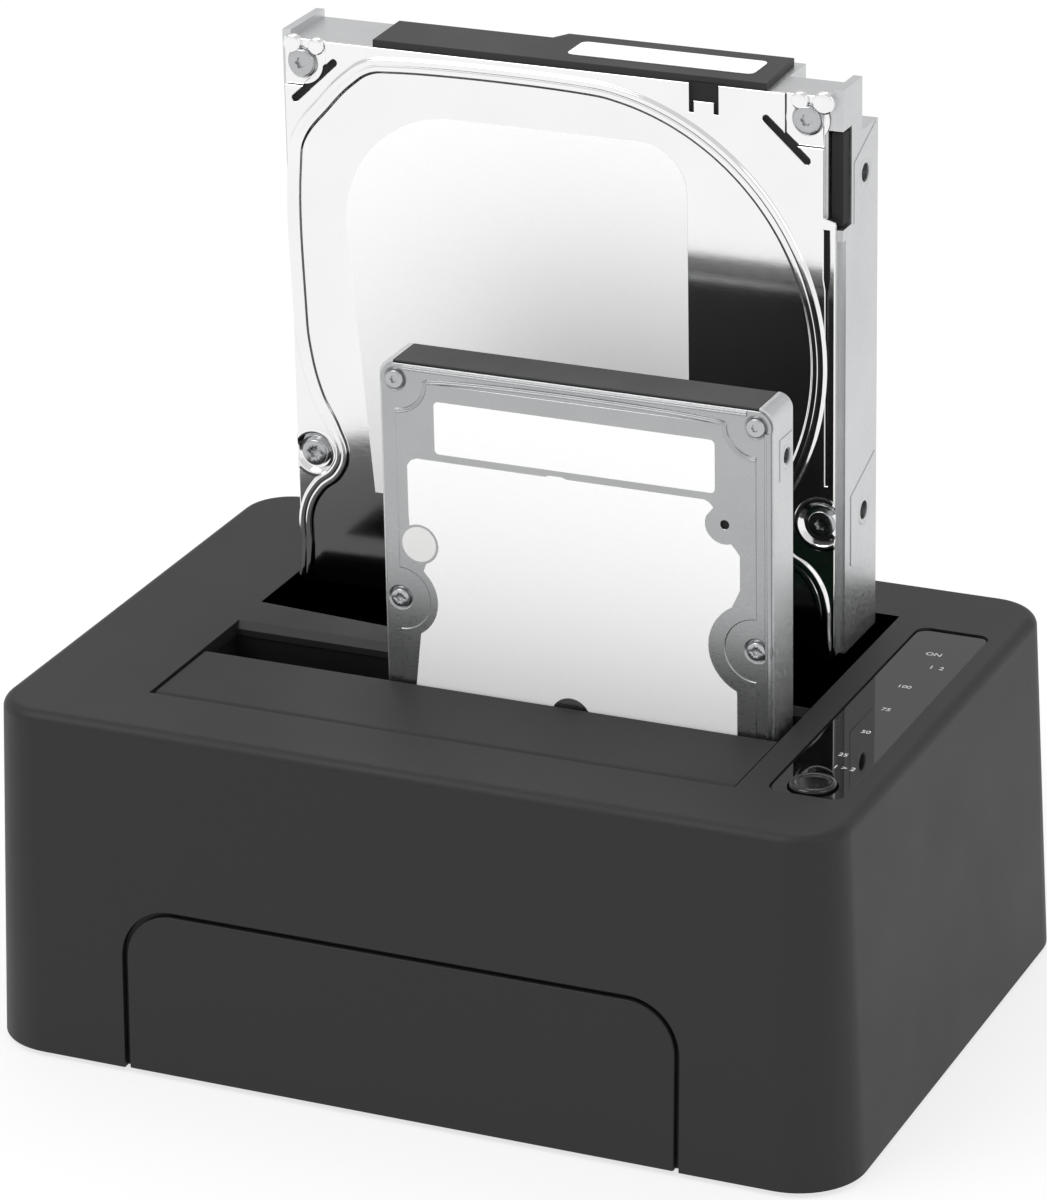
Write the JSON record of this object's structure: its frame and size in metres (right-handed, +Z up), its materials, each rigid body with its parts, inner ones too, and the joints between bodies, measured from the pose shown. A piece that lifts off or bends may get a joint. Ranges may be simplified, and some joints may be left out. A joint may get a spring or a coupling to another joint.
{
  "type": "hard drive docking station",
  "caption": "Black desktop docking station with two upright bays, sprung doors, a copy button and a status strip, shown with a large and a small hard drive docked.",
  "frame": {"origin": "on the table, under the middle of the housing", "axes": "+X to the right of the front, +Y to the back, +Z up, the way the drives lift out"},
  "size_m": [0.157, 0.1135, 0.163],
  "materials": {
    "housing_abs": "fine satin moulded ABS, black",
    "base_abs": "moulded ABS, black",
    "panel_abs": "fine satin moulded ABS, black",
    "liner_abs": "moulded ABS, black",
    "door_abs": "satin moulded ABS, black",
    "gloss_acrylic": "polished acrylic, black",
    "button_plastic": "polished ABS, black",
    "black_nylon": "moulded nylon, black",
    "rubber": "matt rubber",
    "zinc_steel": "zinc plated",
    "pin_steel": "drawn steel",
    "screw_steel": "plated steel",
    "plated_steel": "nickel plated sheet",
    "brass": "turned",
    "circuit_board": "solder resist over glass fibre",
    "chip_resin": "moulded resin",
    "clear_acrylic": "clear acrylic",
    "cast_aluminium": "as cast and machined",
    "pressed_steel": "pressed stainless sheet, satin",
    "pressed_aluminium": "pressed sheet, satin",
    "label_paper": "white label stock",
    "seal_paper": "foil-backed paper",
    "black_film": "black plastic film"
  },
  "bodies": {
    "dock": {"housing": "housing_abs", "base_plate": "base_abs", "front_panel": "panel_abs", "rubber_feet": "rubber", "base_screws": "zinc_steel", "front_bay_liner": "liner_abs", "rear_bay_liner": "liner_abs", "control_strip": "gloss_acrylic", "switch_body": "black_nylon", "indicator_board": "circuit_board", "indicator_lights": "clear_acrylic", "light_guides": "clear_acrylic", "indicator_screws": "zinc_steel", "main_board": "circuit_board", "board_chips": "chip_resin", "board_capacitors": "chip_resin", "board_screws": "zinc_steel", "front_socket": "black_nylon", "rear_socket": "black_nylon", "usb_shell": "plated_steel", "usb_tongue": "black_nylon", "dc_jack": "black_nylon", "dc_pin": "brass", "power_switch_frame": "black_nylon"},
    "large_drive": {"large_drive_base": "cast_aluminium", "large_drive_cover": "pressed_steel", "large_drive_screws": "screw_steel", "large_drive_label": "label_paper", "large_drive_end_cap": "black_film", "large_drive_end_label": "label_paper", "large_drive_board": "circuit_board", "large_drive_plug": "black_nylon"},
    "small_drive": {"small_drive_base": "cast_aluminium", "small_drive_cover": "pressed_aluminium", "small_drive_screws": "screw_steel", "small_drive_label": "label_paper", "small_drive_top_label": "label_paper", "small_drive_seal": "seal_paper", "small_drive_end_cap": "black_film", "small_drive_board": "circuit_board", "small_drive_plug": "black_nylon"},
    "front_door": {"front_door": "door_abs", "front_door_pins": "pin_steel", "front_door_springs": "pin_steel"},
    "rear_door": {"rear_door": "door_abs", "rear_door_pins": "pin_steel", "rear_door_springs": "pin_steel"},
    "copy_button": {"copy_button": "button_plastic", "switch_plunger": "black_nylon"},
    "power_rocker": {"power_rocker": "button_plastic"}
  },
  "joints": [
    {"name": "large_drive_lift", "type": "slide", "parent": "dock", "child": "large_drive", "axis": [0, 0, 1], "range_m": [0, 0.05]},
    {"name": "small_drive_lift", "type": "slide", "parent": "dock", "child": "small_drive", "axis": [0, 0, 1], "range_m": [0, 0.05]},
    {"name": "front_door_hinge", "type": "hinge", "parent": "dock", "child": "front_door", "pos_m": [0.0006, -0.0365, 0.061], "axis": [-1, 0, 0], "range_deg": [0, 88], "stiffness_Nm_per_rad": 0.006, "springref_deg": -28.65},
    {"name": "rear_door_hinge", "type": "hinge", "parent": "dock", "child": "rear_door", "pos_m": [0.0006, 0.0061, 0.061], "axis": [-1, 0, 0], "range_deg": [0, 26], "stiffness_Nm_per_rad": 0.006, "springref_deg": -91.67},
    {"name": "copy_button_press", "type": "slide", "parent": "dock", "child": "copy_button", "axis": [0, 0, -1], "range_m": [0, 0.0012], "stiffness_N_per_m": 600, "springref_m": -0.001},
    {"name": "power_rocker_tilt", "type": "hinge", "parent": "dock", "child": "power_rocker", "pos_m": [-0.035, 0.05496, 0.03], "axis": [0, 0, -1], "range_deg": [0, 16]}
  ]
}
